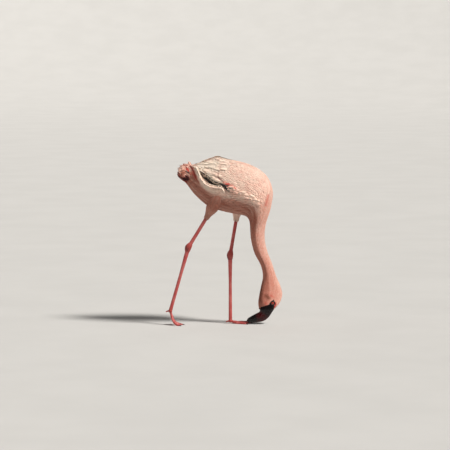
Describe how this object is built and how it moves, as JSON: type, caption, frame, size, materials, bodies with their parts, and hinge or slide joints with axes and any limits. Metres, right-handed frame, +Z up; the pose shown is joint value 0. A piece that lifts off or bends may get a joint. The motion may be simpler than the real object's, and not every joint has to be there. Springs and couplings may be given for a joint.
{
  "type": "lesser flamingo",
  "caption": "Life-size still model of a lesser flamingo feeding: lowered breast, hanging neck, upturned head with a bent bill, folded wings and long legs in mid stride.",
  "frame": {"origin": "on the ground, under the middle of the bird's length and width", "axes": "+X the way the bird faces, +Y its left side, +Z up"},
  "size_m": [0.3955, 0.1666, 0.568],
  "materials": {
    "plumage": "soft pale rose feathers",
    "coverts": "pale rose covert feathers with crimson marks",
    "flight_feathers": "black flight feathers",
    "tail_feathers": "rosy tail feathers",
    "eye": "glossy orange-red iris with a dark pupil",
    "bill": "dark maroon horn, crimson towards the middle",
    "leg_skin": "scaly crimson-pink skin",
    "claw": "dark horn"
  },
  "bodies": {
    "root": {"trunk": "plumage", "neck_lower": "plumage", "neck_upper": "plumage", "head": "plumage", "thigh_left": "plumage", "thigh_right": "plumage", "wing_left": "coverts", "wing_right": "coverts", "flight_feathers_left": "flight_feathers", "flight_feathers_right": "flight_feathers", "tail": "tail_feathers", "eye_left": "eye", "eye_right": "eye", "bill_upper": "bill", "bill_lower": "bill", "shank_left": "leg_skin", "shank_right": "leg_skin", "tarsus_left": "leg_skin", "tarsus_right": "leg_skin", "foot_left": "leg_skin", "foot_right": "leg_skin", "claw_inner_left": "claw", "claw_middle_left": "claw", "claw_outer_left": "claw", "claw_inner_right": "claw", "claw_middle_right": "claw", "claw_outer_right": "claw"}
  },
  "joints": []
}
